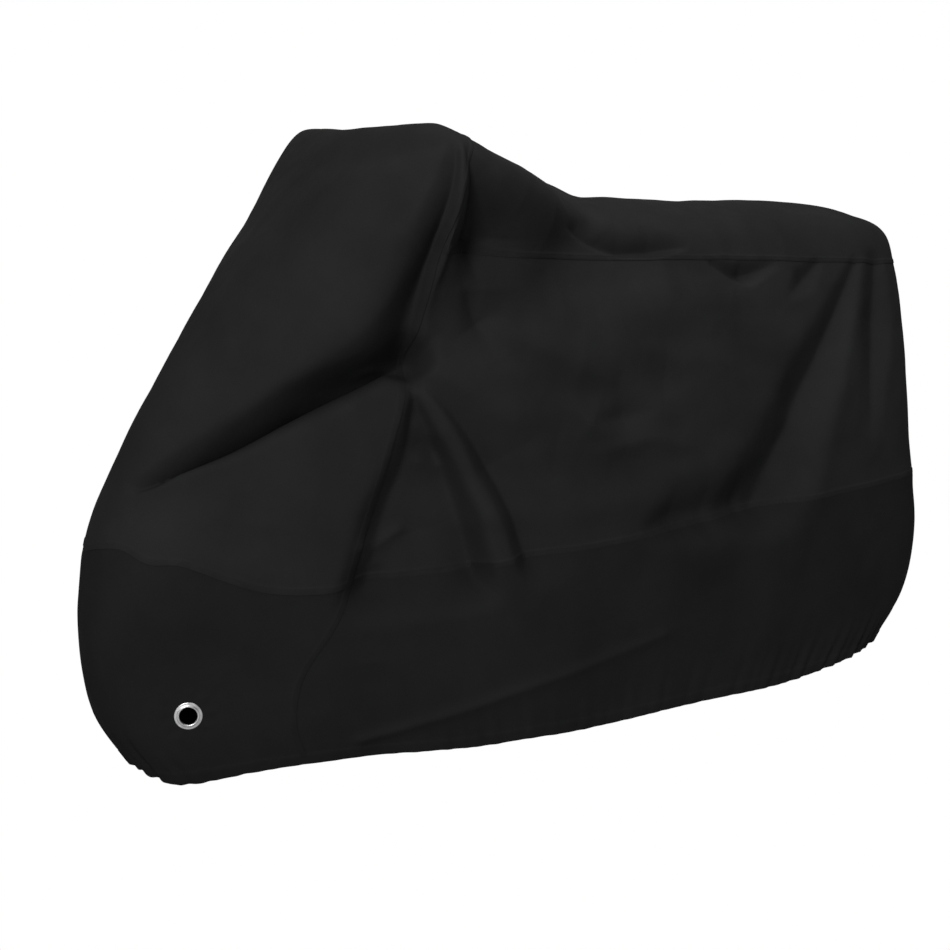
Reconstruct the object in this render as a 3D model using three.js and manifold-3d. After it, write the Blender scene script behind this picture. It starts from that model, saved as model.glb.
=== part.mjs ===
// A fitted motorcycle cover, as it hangs: a black cloth shell, hollow and open below, with two
// metal eyelets. Millimetres, +Z up, +X towards the back, -Y the left side. The origin is the
// middle of the footprint.
import * as THREE from "three";
import { mergeVertices } from "three/addons/utils/BufferGeometryUtils.js";
import Module from "manifold-3d";

// A table as its columns, each under its name
const columnsOf = (names, rows) =>
  Object.fromEntries(names.map((name, i) => [name, rows.map((row) => row[i])]));
// A table as its rows, each with the columns' names
const rowsOf = (names, rows) =>
  rows.map((row) => Object.fromEntries(names.map((name, i) => [name, row[i]])));

// Cloth and gaps
const CLOTH = 2;
const SEAM_GAP = 0.3;

// Levels, as a share of the way from the hem (0) to the ridge (1)
const SKIRT_SEAM = 0.32;
const TOP_SEAM = 0.8;

// How far the cover reaches at the nose and at the back, by level
const REACH = columnsOf(["level", "nose", "back"], [
  [0.0, -985, 905],
  [0.08, -1055, 990],
  [0.2, -1080, 1025],
  [0.32, -1065, 1008],
  [0.42, -1020, 992],
  [0.6, -895, 975],
  [0.8, -697, 965],
  [0.91, -526, 950],
  [1.0, -470, 900],
]);

// Cross-sections from the nose (way 0) round one side to the back (way 1): how far along the
// length each one stands, its half widths at five levels, and its heights at five levels
const WIDTHS = columnsOf(["name", "level"], [
  ["hemWidth", 0.0],
  ["skirtWidth", 0.32],
  ["middleWidth", 0.6],
  ["seamWidth", 0.8],
  ["browWidth", 0.91],
]);
const HEIGHTS = columnsOf(["name", "level"], [
  ["hemHeight", 0.0],
  ["skirtHeight", 0.32],
  ["seamHeight", 0.8],
  ["browHeight", 0.91],
  ["ridgeHeight", 1.0],
]);
const SECTIONS = columnsOf(["way", "along", ...WIDTHS.name, ...HEIGHTS.name], [
  [0.0, 0.0, 0, 0, 0, 0, 0, 25, 460, 1085, 1285, 1305],
  [0.06, 0.008, 60, 70, 60, 130, 170, 15, 455, 1085, 1290, 1305],
  [0.12, 0.035, 110, 120, 120, 225, 275, 0, 435, 1085, 1292, 1305],
  [0.2, 0.11, 170, 180, 210, 325, 325, 22, 395, 1065, 1262, 1300],
  [0.3, 0.22, 240, 250, 290, 300, 270, 42, 385, 1055, 1204, 1264],
  [0.4, 0.33, 300, 320, 320, 250, 190, 45, 410, 1050, 1147, 1219],
  [0.455, 0.39, 318, 340, 324, 243, 176, 50, 426, 1050, 1140, 1189],
  [0.52, 0.46, 330, 350, 320, 240, 170, 56, 440, 1050, 1141, 1190],
  [0.66, 0.61, 330, 340, 300, 220, 160, 75, 475, 1055, 1145, 1190],
  [0.78, 0.76, 310, 310, 280, 210, 150, 85, 505, 1055, 1155, 1197],
  [0.88, 0.89, 270, 270, 250, 200, 140, 115, 525, 1055, 1155, 1192],
  [0.94, 0.965, 200, 210, 200, 160, 110, 150, 540, 1055, 1145, 1175],
  [1.0, 1.0, 0, 0, 0, 0, 0, 185, 545, 1055, 1145, 1165],
]);
// The vehicle leans on its stand, so the far bar end stands higher: rise per unit of width, at
// full height
const LEAN = 0.07;
const LEAN_HEIGHT = 1300;

// The upright seam: how far round the side it runs, by level
const UPRIGHT = columnsOf(["level", "way"], [
  [0.0, 0.245],
  [0.16, 0.262],
  [0.32, 0.3],
  [0.63, 0.285],
  [0.8, 0.235],
  [0.9, 0.19],
  [1.0, 0.185],
]);

// How far the skirt seam is pulled up or down along its way round, in levels, at the left and
// the right side
const SEAM_PULL = columnsOf(["way", "left", "right"], [
  [0.0, 0.002, 0.002],
  [0.045, 0.012, 0.008],
  [0.09, 0.02, 0.016],
  [0.125, 0.011, 0.01],
  [0.155, 0.02, 0.012],
  [0.19, 0.012, 0.006],
  [0.225, -0.001, 0.0],
  [0.255, -0.005, -0.004],
  [0.285, -0.003, -0.004],
  [0.31, 0.006, 0.003],
  [0.345, 0.004, 0.004],
  [0.39, 0.0, 0.002],
  [0.5, 0.003, 0.001],
  [0.64, -0.002, 0.0],
  [1.0, 0.0, 0.0],
]);
const SEAM_PULL_REACH = 0.16;

// Folds, seen in side elevation: a path of x, z points, half widths and heights from its start
// to its end, how sharp the fold is (2 round, 1 a crisp crease, 0 with flat sides) and how much
// narrower it is on the left of its path than on the right. A height below zero is a trough,
// above zero a ridge.
const FOLD_NAMES = ["side", "path", "widths", "heights", "edge", "lean"];
const LEFT = -1;
const RIGHT = 1;
const FOLDS = rowsOf(FOLD_NAMES, [
  // The front face's edge, from the bar's end down and along the deep fold, and the wall behind it
  [LEFT, [[-445, 1235], [-497, 1130], [-553, 979], [-612, 891], [-748, 772], [-893, 648]],
    [36, 96, 106, 92, 60], [5, 30, 38, 34, 10], 0, 0.22],
  [LEFT, [[-424, 1226], [-442, 1145], [-460, 1062], [-486, 955], [-492, 878], [-492, 825]], [14, 46, 52],
    [-10, -34, -38], 0, 0.6],
  // The deep diagonal fold at the nose and the face that turns into it
  [LEFT, [[-985, 590], [-820, 655], [-650, 742], [-488, 818]], [15, 34, 44, 42],
    [-14, -60, -86, -78], 0, -0.5],
  [LEFT, [[-700, 770], [-620, 812], [-520, 850]], [24, 48, 42], [-6, -16, -14], 1.6, 0],
  [LEFT, [[-400, 1228], [-368, 1148], [-343, 1069], [-340, 975]], [14, 66, 108, 70],
    [-8, -48, -68, -6], 0, -0.09],
  [LEFT, [[-335, 1225], [-300, 1170], [-240, 1118], [-180, 1080]], [40, 92, 104, 50],
    [3, 20, 24, 2], 0, 0.3],
  // From the gathered point down to the skirt
  [LEFT, [[-482, 785], [-503, 640], [-540, 530], [-564, 425], [-576, 380]], [22, 84, 116, 118],
    [-10, -40, -62, -64], 0, -0.46],
  [LEFT, [[-490, 770], [-428, 640], [-388, 525], [-356, 415], [-350, 380]], [12, 44, 84, 96],
    [-6, -44, -76, -76], 0, 0.78],
  [LEFT, [[-460, 785], [-384, 700], [-322, 612], [-270, 518], [-240, 430]], [22, 84, 88],
    [-10, -50, -44], 0, -0.28],
  // The side
  [LEFT, [[-377, 979], [-340, 905], [-305, 837]], [20, 32, 26], [-4, -24, -4], 1.3, 0.1],
  [LEFT, [[-331, 915], [-239, 864], [-128, 820], [-20, 780]], [24, 46, 48, 30], [3, 20, 22, 2], 1.5, -0.2],
  [LEFT, [[-205, 758], [-130, 708], [-27, 632]], [22, 38, 30], [3, 17, 2], 1.4, -0.2],
  [LEFT, [[-255, 690], [-190, 670], [-112, 663]], [20, 34, 20], [-2, -10, -2], 1.6, 0],
  [LEFT, [[-60, 930], [60, 938], [220, 950], [350, 956]], [44, 56, 56, 40], [3, 18, 20, 3], 1.6, 0],
  [LEFT, [[40, 800], [110, 780], [170, 790]], [26, 40, 24], [-2, -10, -2], 1.6, 0],
  [LEFT, [[296, 1034], [372, 1008], [474, 1034]], [12, 30, 14], [-6, -34, -6], 0, 0],
  [LEFT, [[10, 492], [120, 508], [220, 514], [310, 520]], [22, 46, 50, 36], [-4, -38, -46, -24], 1.8, 0],
  // The rear
  [LEFT, [[734, 1040], [580, 839], [458, 645], [374, 505]], [18, 75, 122], [-10, -50, -84], 0, 0.1],
  [LEFT, [[745, 1030], [640, 760], [545, 520]], [30, 50], [4, 10], 1.5, 0],
  [LEFT, [[618, 1044], [560, 1000], [508, 968]], [14, 32, 20], [-6, -18, -3], 0, 0],
  [LEFT, [[822, 1045], [790, 880], [755, 720]], [32, 54, 40], [-14, -26, -3], 0, 0.3],
  // The seat's front
  [LEFT, [[-280, 1168], [-212, 1118], [-80, 1074], [40, 1069], [230, 1070]], [20, 36, 48, 46, 18],
    [-4, -12, -30, -44, -6], 0, -0.6],
  // The right side
  [RIGHT, [[-960, 600], [-760, 690], [-500, 800]], [20, 36, 40], [-8, -30, -42], 0, -0.2],
  [RIGHT, [[-440, 1210], [-500, 1030], [-490, 860]], [24, 36], [-12, -28], 0, 0.3],
  [RIGHT, [[-480, 790], [-540, 640], [-570, 460]], [32, 48], [-26, -20], 0, -0.3],
  [RIGHT, [[-450, 790], [-340, 600], [-260, 480]], [30, 44], [-20, -12], 0, -0.1],
  [RIGHT, [[-350, 960], [-290, 820]], [20, 28], [-8, -10], 1.3, 0],
  [RIGHT, [[-250, 880], [80, 700]], [30, 42], [10, 8], 1.2, 0.2],
  [RIGHT, [[-40, 700], [200, 560]], [26, 36], [7, 9], 1.3, 0],
  [RIGHT, [[0, 930], [400, 950]], [45, 40], [9, 6], 1.5, 0],
  [RIGHT, [[-130, 1130], [20, 1100], [260, 1070]], [32, 32, 28], [-8, -22, -10], 1.5, 0],
  [RIGHT, [[740, 1040], [520, 800], [380, 560]], [24, 60, 90], [-10, -30, -40], 0, -0.1],
]);
const SKIRT_FOLDS = rowsOf(FOLD_NAMES, [
  [LEFT, [[-590, 78], [-255, 160], [84, 241]], [16, 22], [9, 5], 1.2, 0.2],
  [RIGHT, [[-560, 90], [-200, 180]], [18, 24], [8, 4], 1.3, 0],
]);
// Points that the vehicle pushes out from inside, at the two bar ends
const PEAKS = rowsOf(["place", "push", "radius"], [
  [[-425, -325, 1262], [0, -8, 9], 60],
  [[-432, -272, 1292], [0, -2, 13], 48],
  [[-440, 322, 1300], [-4, 8, 36], 70],
]);
// The body's folds end at the skirt seam, between these two levels
const FOLD_END = 0.272;
const FOLD_START = 0.332;
// The point where the folds start from, drawn in
const PINCH = { side: LEFT, x: -488, z: 816, radius: 36, depth: 14 };
// Where folds meet they add up, but the cloth is never drawn in further than this
const DEEPEST = 64;
// Folds fade out where the side turns to the middle of the nose, the back and the ridge
const FADE_FROM = 20;
const FADE_TO = 110;
// Steps along a path between two of its points, and how round folds and peaks are at their tops
const PATH_STEPS = 8;
const CREASE_ROUNDING = 0.12;
const TENT_CRISPNESS = 9;
const PEAK_EDGE = 1.3;
// The grid's steps carry no fold with a half width below this
const NARROWEST = 38;
// Half the step, in way and in level, over which the shape's direction is taken
const PROBE = 0.002;
// A place this near to a path lies on it, and points this near to each other are one
const ON_PATH = 1e-6;
const SAME_POINT = 0.001;
const SAME_CORNER = 1e-4;

// Eyelets in the front skirt strip
const EYELET_HOLE_R = 17.5;
const EYELET_BARREL_R = 19;
const EYELET_FLANGE_R = 27.5;
const EYELET_FLANGE = 1.2;
const EYELET_BEVEL = 0.5;
const HOLE_DEPTH = 30;
const EYELET_STEPS = 24;
const EYELET_COLUMN = 7;
const EYELET_ROW = 3;

// Grid lines: shares of the way from the nose to the upright seam, and shares of the skirt's height
const FRONT_SHARES = [0, 0.08, 0.16, 0.24, 0.32, 0.42, 0.52, 0.64, 0.72, 0.78, 0.84, 0.89, 0.95, 1];
const REAR_STEPS = 34;
const SKIRT_SHARES = [0, 0.13, 0.264, 0.344, 0.424, 0.57, 0.71, 0.86, 1];
const TOP_STEPS = 6;
// The body's grid rows follow the deep fold, whose level is given by the share of the way to the
// upright seam. Rows stand at some levels from the fold, in even steps below and above those, and
// even out behind the seam.
const FOLD_LINE = columnsOf(["share", "level"], [
  [0.0, 0.405],
  [0.2, 0.415],
  [0.4, 0.453],
  [0.6, 0.522],
  [0.8, 0.585],
  [1.0, 0.632],
]);
const FOLD_ROWS = [-0.05, -0.03, -0.014, 0, 0.018, 0.036, 0.058];
const STEPS_BELOW_FOLD = 5;
const STEPS_ABOVE_FOLD = 8;
const EVEN_BEHIND = 0.35;

const material = (name, color, roughness, metalness) =>
  new THREE.MeshStandardMaterial({ name, color, roughness, metalness });
const BODY_CLOTH = material("body_cloth", 0x222222, 0.7, 0);
const SKIRT_CLOTH = material("skirt_cloth", 0x1b1b1b, 0.85, 0);
const EYELET_STEEL = material("eyelet_steel", 0xb8b6b2, 0.3, 1);

const wasm = await Module();
wasm.setup();

const vector = (x, y, z) => new THREE.Vector3(x, y, z);
const mix = (a, b, share) => a + (b - a) * share;
const range = (steps) => Array.from({ length: steps + 1 }, (_, i) => i / steps);

// A smooth step from 0 to 1 between two values
function ease(from, to, value) {
  const share = THREE.MathUtils.clamp((value - from) / (to - from), 0, 1);
  return share * share * (3 - 2 * share);
}

// A cubic through points, with each point's slope taken from its neighbours
function smooth(xs, ys, x) {
  const last = xs.length - 1;
  let i = 0;
  while (i < last - 1 && x >= xs[i + 1]) i += 1;
  const slope = (k) => {
    const low = Math.max(k - 1, 0);
    const high = Math.min(k + 1, last);
    return (ys[high] - ys[low]) / (xs[high] - xs[low]);
  };
  const h = xs[i + 1] - xs[i];
  const u = (x - xs[i]) / h;
  const rise = ys[i + 1] - ys[i];
  const start = slope(i) * h;
  const end = slope(i + 1) * h;
  return ys[i] + u * (start + u * (3 * rise - 2 * start - end + u * (start + end - 2 * rise)));
}

// A section column at a way round the side, carried past both ends as in a mirror, so that nose
// and back are round
const SECTION_WAYS = [-SECTIONS.way[1], ...SECTIONS.way, 2 - SECTIONS.way.at(-2)];
function sectionValue(name, way) {
  const sign = WIDTHS.name.includes(name) ? -1 : 1;
  const values = SECTIONS[name];
  return smooth(SECTION_WAYS, [sign * values[1], ...values, sign * values.at(-2)], way);
}

// The smooth shape without folds, for a way round the side, a level and a side
function plainPoint(way, level, side) {
  const widths = WIDTHS.name.map((name) => sectionValue(name, way));
  const heights = HEIGHTS.name.map((name) => sectionValue(name, way));
  const widthLevels = [...WIDTHS.level, 1, 2 - WIDTHS.level.at(-1)];
  const heightLevels = [...HEIGHTS.level, 2 - HEIGHTS.level.at(-2)];
  const y = side * smooth(widthLevels, [...widths, 0, -widths.at(-1)], level);
  const height = smooth(heightLevels, [...heights, heights.at(-2)], level);
  const nose = smooth(REACH.level, REACH.nose, level);
  const back = smooth(REACH.level, REACH.back, level);
  const x = mix(nose, back, sectionValue("along", way));
  return vector(x, y, height + (LEAN * y * height ** 2) / LEAN_HEIGHT ** 2);
}

// Height of some folds at a place in side elevation
const foldsHeight = (folds, x, z, side) =>
  folds
    .filter((fold) => fold.side === side)
    .reduce((sum, fold) => sum + oneFold(x, z, fold), 0);

function pinchHeight(x, z, side) {
  if (side !== PINCH.side) return 0;
  const away = Math.hypot(x - PINCH.x, z - PINCH.z) / PINCH.radius;
  return -PINCH.depth * Math.exp(-away * away);
}

// A path's points with a smooth line through them, evenly spaced
function pathPoints(path) {
  const lengths = [0];
  path.slice(1).forEach(([x, z], i) => {
    lengths.push(lengths[i] + Math.hypot(x - path[i][0], z - path[i][1]));
  });
  return range(PATH_STEPS * (path.length - 1)).map((share) =>
    [0, 1].map((axis) => smooth(lengths, path.map((p) => p[axis]), share * lengths.at(-1)))
  );
}
[...FOLDS, ...SKIRT_FOLDS].forEach((fold) => (fold.points = pathPoints(fold.path)));

// The distance to a path, how squarely the place lies on its left (1) or its right (-1), and the
// share of the path that is nearest
function fromPath(x, z, points) {
  let best = { away: Infinity };
  points.slice(1).forEach((end, i) => {
    const [dx, dz] = [end[0] - points[i][0], end[1] - points[i][1]];
    const [px, pz] = [x - points[i][0], z - points[i][1]];
    const along = THREE.MathUtils.clamp((px * dx + pz * dz) / (dx * dx + dz * dz), 0, 1);
    const away = Math.hypot(px - along * dx, pz - along * dz);
    const left = (dx * pz - dz * px) / Math.hypot(dx, dz);
    const turn = left / Math.max(away, ON_PATH);
    const share = (i + along) / (points.length - 1);
    if (away < best.away) best = { away, turn, share };
  });
  return best;
}

// The value at a share of the way along a short list, straight between its members
function alongList(values, share) {
  const place = share * (values.length - 1);
  const i = Math.min(Math.floor(place), values.length - 2);
  return mix(values[i], values[i + 1], place - i);
}

// Flat sides that meet in a crisp line and end softly
const tent = (away) =>
  Math.log1p(Math.exp(TENT_CRISPNESS * (1 - away))) / Math.log1p(Math.exp(TENT_CRISPNESS));

function oneFold(x, z, { points: line, widths, heights, edge, lean }) {
  const nearest = fromPath(x, z, line);
  const width = Math.max(alongList(widths, nearest.share) * (1 - lean * nearest.turn), NARROWEST);
  const away = Math.hypot(nearest.away / width, CREASE_ROUNDING) - CREASE_ROUNDING;
  return alongList(heights, nearest.share) * (edge > 0 ? Math.exp(-(away ** edge)) : tent(away));
}

// The step outwards that the points pushed from inside give a place
function peaksStep(point) {
  const step = vector(0, 0, 0);
  for (const { place, push, radius } of PEAKS) {
    const away = point.distanceTo(vector(...place)) / radius;
    step.addScaledVector(vector(...push), Math.exp(-(away ** PEAK_EDGE)));
  }
  return step;
}

// The direction out of the smooth shape
function plainNormal(way, level, side) {
  const wayLow = Math.max(way - PROBE, 0);
  const levelHigh = Math.min(level + PROBE, 1);
  const alongWay = plainPoint(wayLow + 2 * PROBE, level, side).sub(plainPoint(wayLow, level, side));
  const up = plainPoint(way, levelHigh, side).sub(plainPoint(way, levelHigh - 2 * PROBE, side));
  return alongWay.cross(up).multiplyScalar(-side).normalize();
}

// A level with the skirt seam pulled up or down, as the cloth is drawn there
function seamLevel(way, level, side) {
  const pull = smooth(SEAM_PULL.way, side === LEFT ? SEAM_PULL.left : SEAM_PULL.right, way);
  return level + pull * Math.max(1 - Math.abs(level - SKIRT_SEAM) / SEAM_PULL_REACH, 0);
}

// The cloth's outer face with its folds
function clothPoint(way, evenLevel, side) {
  const level = seamLevel(way, evenLevel, side);
  const point = plainPoint(way, level, side);
  const step = peaksStep(point);
  const fade = ease(FADE_FROM, FADE_TO, Math.abs(point.y));
  if (fade > 0) {
    const body = foldsHeight(FOLDS, point.x, point.z, side) + pinchHeight(point.x, point.z, side);
    const skirt = foldsHeight(SKIRT_FOLDS, point.x, point.z, side);
    const height = (body * ease(FOLD_END, FOLD_START, level) + skirt) * fade;
    const held = height < 0 ? DEEPEST * Math.tanh(height / DEEPEST) : height;
    point.addScaledVector(plainNormal(way, level, side), held);
  }
  return point.add(step);
}

const uprightWay = (level) => smooth(UPRIGHT.level, UPRIGHT.way, level);

// Grid columns, by the share of the way to the upright seam and then by the share of the way behind it
const columns = [
  ...FRONT_SHARES.map((share) => ({ share, behind: 0 })),
  ...range(REAR_STEPS).slice(1).map((behind) => ({ share: 1, behind })),
];
const columnWay = ({ share, behind }, level) => mix(share * uprightWay(level), 1, behind);

// The levels of a column's rows in the body, above the skirt seam
function bodyLevels({ share, behind }) {
  const fold = smooth(FOLD_LINE.share, FOLD_LINE.level, share);
  const bent = [
    ...range(STEPS_BELOW_FOLD).slice(1).map((part) => mix(SKIRT_SEAM, fold + FOLD_ROWS[0], part)),
    ...FOLD_ROWS.slice(1).map((offset) => fold + offset),
    ...range(STEPS_ABOVE_FOLD).slice(1).map((part) => mix(fold + FOLD_ROWS.at(-1), TOP_SEAM, part)),
  ];
  const evened = ease(0, EVEN_BEHIND, behind);
  return bent.map((level, i) => mix(level, mix(SKIRT_SEAM, TOP_SEAM, (i + 1) / bent.length), evened));
}

const columnLevels = (column) => [
  ...SKIRT_SHARES.map((share) => share * SKIRT_SEAM),
  ...bodyLevels(column),
  ...range(TOP_STEPS).slice(1).map((share) => mix(TOP_SEAM, 1, share)),
];
const UPRIGHT_COLUMN = FRONT_SHARES.length - 1;
const SKIRT_ROW = SKIRT_SHARES.length - 1;
const TOP_ROW = SKIRT_ROW + STEPS_BELOW_FOLD + FOLD_ROWS.length - 1 + STEPS_ABOVE_FOLD;

// The panel that each grid cell is cut from
function panelName(column, row, side) {
  const inFront = column < UPRIGHT_COLUMN;
  if (row < SKIRT_ROW) return inFront ? "skirt_front" : "skirt_back";
  if (inFront) return "front_panel";
  if (row >= TOP_ROW) return "top_panel";
  return side === LEFT ? "left_panel" : "right_panel";
}

// The whole outer face as points that neighbouring cells share, and triangles that face out
const points = [];
const placed = new Map();
function pointIndex(point) {
  const key = point.toArray().map((value) => Math.round(value / SAME_POINT)).join(",");
  if (!placed.has(key)) {
    placed.set(key, points.length);
    points.push(point);
  }
  return placed.get(key);
}

// Makes the cloth flat round one grid point, as a pressed eyelet holds it, and returns its middle
// and direction
function flattenRound(grid, column, row) {
  const near = [-1, 0, 1].flatMap((i) => [-1, 0, 1].map((j) => grid[column + i][row + j]));
  const middle = grid[column][row].clone();
  const along = grid[column + 1][row].clone().sub(grid[column - 1][row]);
  const up = grid[column][row + 1].clone().sub(grid[column][row - 1]);
  const direction = along.cross(up).normalize();
  near.forEach((point) => point.addScaledVector(direction, direction.dot(middle.clone().sub(point))));
  return { middle, direction };
}

const panels = new Map();
const eyelets = [];
function addTriangle(name, a, b, c) {
  if (a === b || b === c || c === a) return;
  if (!panels.has(name)) panels.set(name, []);
  panels.get(name).push([a, b, c]);
}

for (const side of [LEFT, RIGHT]) {
  const grid = columns.map((column) =>
    columnLevels(column).map((level) => clothPoint(columnWay(column, level), level, side))
  );
  const cell = (i, j) => [grid[i][j], grid[i + 1][j], grid[i + 1][j + 1], grid[i][j + 1]];
  const { middle, direction } = flattenRound(grid, EYELET_COLUMN, EYELET_ROW);
  eyelets.push({ side, middle, direction: direction.multiplyScalar(-side) });
  for (let i = 0; i < grid.length - 1; i += 1) {
    for (let j = 0; j < grid[0].length - 1; j += 1) {
      const corners = cell(i, j);
      const [a, b, c, d] = corners.map(pointIndex);
      const name = panelName(i, j, side);
      const splitAC = corners[0].distanceTo(corners[2]) <= corners[1].distanceTo(corners[3]);
      const triangles = splitAC ? [[a, b, c], [a, c, d]] : [[a, b, d], [b, c, d]];
      triangles.forEach(([p, q, r]) => addTriangle(name, ...(side === LEFT ? [p, q, r] : [p, r, q])));
    }
  }
}

// Directions out of the cloth at the shared points
const directions = points.map(() => vector(0, 0, 0));
for (const triangles of panels.values()) {
  for (const [a, b, c] of triangles) {
    const face = points[b].clone().sub(points[a]).cross(points[c].clone().sub(points[a]));
    [a, b, c].forEach((index) => directions[index].add(face));
  }
}
directions.forEach((direction) => direction.normalize());

// Edges that only one triangle of a panel has, in that triangle's order
function rimEdges(triangles) {
  const edges = new Map();
  for (const [a, b, c] of triangles) {
    for (const [from, to] of [[a, b], [b, c], [c, a]]) {
      const back = `${to}-${from}`;
      if (edges.has(back)) edges.delete(back);
      else edges.set(`${from}-${to}`, [from, to]);
    }
  }
  return [...edges.values()];
}

// A panel of cloth: its outer face, an inner face one cloth thickness below, and a rim drawn in
// from the seam
function panelGeometry(triangles) {
  const rim = rimEdges(triangles);
  const inward = new Map();
  for (const [from, to] of rim) {
    const along = points[to].clone().sub(points[from]).normalize();
    for (const index of [from, to]) {
      const step = directions[index].clone().cross(along).normalize();
      inward.set(index, (inward.get(index) ?? vector(0, 0, 0)).add(step));
    }
  }
  const used = [...new Set(triangles.flat())];
  const local = new Map(used.map((index, i) => [index, i]));
  const outer = used.map((index) => {
    const point = points[index].clone();
    const step = inward.get(index);
    return step ? point.addScaledVector(step, SEAM_GAP / step.lengthSq()) : point;
  });
  const inner = outer.map((point, i) => point.clone().addScaledVector(directions[used[i]], -CLOTH));
  const faces = [];
  for (const [a, b, c] of triangles.map((triangle) => triangle.map((index) => local.get(index)))) {
    faces.push([a, b, c], [used.length + a, used.length + c, used.length + b]);
  }
  // Both panels at a seam split the rim along the same diagonal, so that their rims lie face to face
  for (const edge of rim) {
    const [from, to] = edge.map((index) => local.get(index));
    const [fromInner, toInner] = [used.length + from, used.length + to];
    if (edge[0] < edge[1]) faces.push([to, from, fromInner], [to, fromInner, toInner]);
    else faces.push([to, from, toInner], [from, fromInner, toInner]);
  }
  const geometry = new THREE.BufferGeometry();
  const places = [...outer, ...inner].flatMap((point) => point.toArray());
  geometry.setAttribute("position", new THREE.Float32BufferAttribute(places, 3));
  geometry.setIndex(faces.flat());
  return geometry;
}

// A closed mesh as a solid for cutting, and back
function solidOf(geometry) {
  const bare = geometry.clone();
  bare.deleteAttribute("normal");
  bare.deleteAttribute("uv");
  const merged = mergeVertices(bare, SAME_CORNER);
  return new wasm.Manifold(
    new wasm.Mesh({
      numProp: 3,
      vertProperties: new Float32Array(merged.attributes.position.array),
      triVerts: new Uint32Array(merged.index.array),
    })
  );
}

function geometryOf(solid) {
  const mesh = solid.getMesh();
  const geometry = new THREE.BufferGeometry();
  geometry.setAttribute("position", new THREE.BufferAttribute(mesh.vertProperties, 3));
  geometry.setIndex(new THREE.BufferAttribute(mesh.triVerts, 1));
  return geometry;
}

// The turn that lays +Z along an eyelet's axis
const eyeletTurn = ({ direction }) =>
  new THREE.Quaternion().setFromUnitVectors(vector(0, 0, 1), direction);
const eyeletMiddle = ({ middle, direction }) =>
  middle.clone().addScaledVector(direction, -CLOTH / 2);

function cutHoles(geometry) {
  const radius = EYELET_BARREL_R + SEAM_GAP;
  return geometryOf(
    eyelets.reduce((solid, eyelet) => {
      const drill = new THREE.CylinderGeometry(radius, radius, HOLE_DEPTH, EYELET_STEPS);
      drill.rotateX(Math.PI / 2).applyQuaternion(eyeletTurn(eyelet));
      drill.translate(...eyeletMiddle(eyelet).toArray());
      return solid.subtract(solidOf(drill));
    }, solidOf(geometry))
  );
}

// A metal ring with a flange on both faces of the cloth, turned about Z
function eyeletGeometry() {
  const seat = CLOTH / 2 + SEAM_GAP;
  const face = seat + EYELET_FLANGE;
  const profile = [
    [EYELET_HOLE_R, -face + EYELET_BEVEL],
    [EYELET_HOLE_R + EYELET_BEVEL, -face],
    [EYELET_FLANGE_R - EYELET_BEVEL, -face],
    [EYELET_FLANGE_R, -seat],
    [EYELET_BARREL_R, -seat],
    [EYELET_BARREL_R, seat],
    [EYELET_FLANGE_R, seat],
    [EYELET_FLANGE_R - EYELET_BEVEL, face],
    [EYELET_HOLE_R + EYELET_BEVEL, face],
    [EYELET_HOLE_R, face - EYELET_BEVEL],
    [EYELET_HOLE_R, -face + EYELET_BEVEL],
  ];
  const path = profile.map(([radius, height]) => new THREE.Vector2(radius, height));
  return new THREE.LatheGeometry(path, EYELET_STEPS).rotateX(Math.PI / 2);
}

const object = new THREE.Group();
for (const [name, triangles] of panels) {
  const whole = panelGeometry(triangles);
  const geometry = name === "skirt_front" ? cutHoles(whole) : whole;
  const mesh = new THREE.Mesh(geometry, name.startsWith("skirt") ? SKIRT_CLOTH : BODY_CLOTH);
  mesh.name = name;
  object.add(mesh);
}
for (const eyelet of eyelets) {
  const mesh = new THREE.Mesh(eyeletGeometry(), EYELET_STEEL);
  mesh.name = eyelet.side === LEFT ? "eyelet_left" : "eyelet_right";
  mesh.quaternion.copy(eyeletTurn(eyelet));
  mesh.position.copy(eyeletMiddle(eyelet));
  object.add(mesh);
}

// The origin is the middle of the footprint
const box = new THREE.Box3().setFromObject(object, true);
const middle = box.getCenter(vector(0, 0, 0));
object.position.set(-middle.x, -middle.y, -box.min.z);

export default object;
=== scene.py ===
# A fitted motorcycle cover as it hangs: a thin black cloth shell, open below, with two steel
# eyelets. The tables are in millimetres, in the shape's own frame: +X towards the back, -Y the
# left side, +Z up.
import itertools
import math

import bpy
import numpy as np
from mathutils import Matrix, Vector


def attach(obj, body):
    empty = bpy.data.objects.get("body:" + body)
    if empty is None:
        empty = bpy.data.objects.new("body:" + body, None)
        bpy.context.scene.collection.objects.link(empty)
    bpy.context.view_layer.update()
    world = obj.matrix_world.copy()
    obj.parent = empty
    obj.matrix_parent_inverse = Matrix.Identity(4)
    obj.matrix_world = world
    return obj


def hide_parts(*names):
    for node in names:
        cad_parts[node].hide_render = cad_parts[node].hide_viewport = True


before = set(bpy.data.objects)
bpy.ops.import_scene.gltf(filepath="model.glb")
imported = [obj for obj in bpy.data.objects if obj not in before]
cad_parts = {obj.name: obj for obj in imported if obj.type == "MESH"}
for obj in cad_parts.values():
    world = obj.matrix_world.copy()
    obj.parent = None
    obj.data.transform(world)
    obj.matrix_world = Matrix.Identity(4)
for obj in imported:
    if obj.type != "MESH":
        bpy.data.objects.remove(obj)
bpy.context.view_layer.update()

MM = 0.001
# From the shape's own frame to the part's, whose origin is the middle of the footprint
ORIGIN = np.array([27.64, -1.09, -0.83])

# The camera of the photograph
EYE = (-1.9318, -3.0729, 0.9347)
CAMERA_AZIMUTH = -30.0
CAMERA_DOWN = 5.92
SENSOR = 36.0
LENS = 60.63

LEFT = -1
RIGHT = 1
# Levels, as a share of the way from the hem (0) to the ridge (1)
SKIRT_SEAM = 0.32
TOP_SEAM = 0.8

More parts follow.
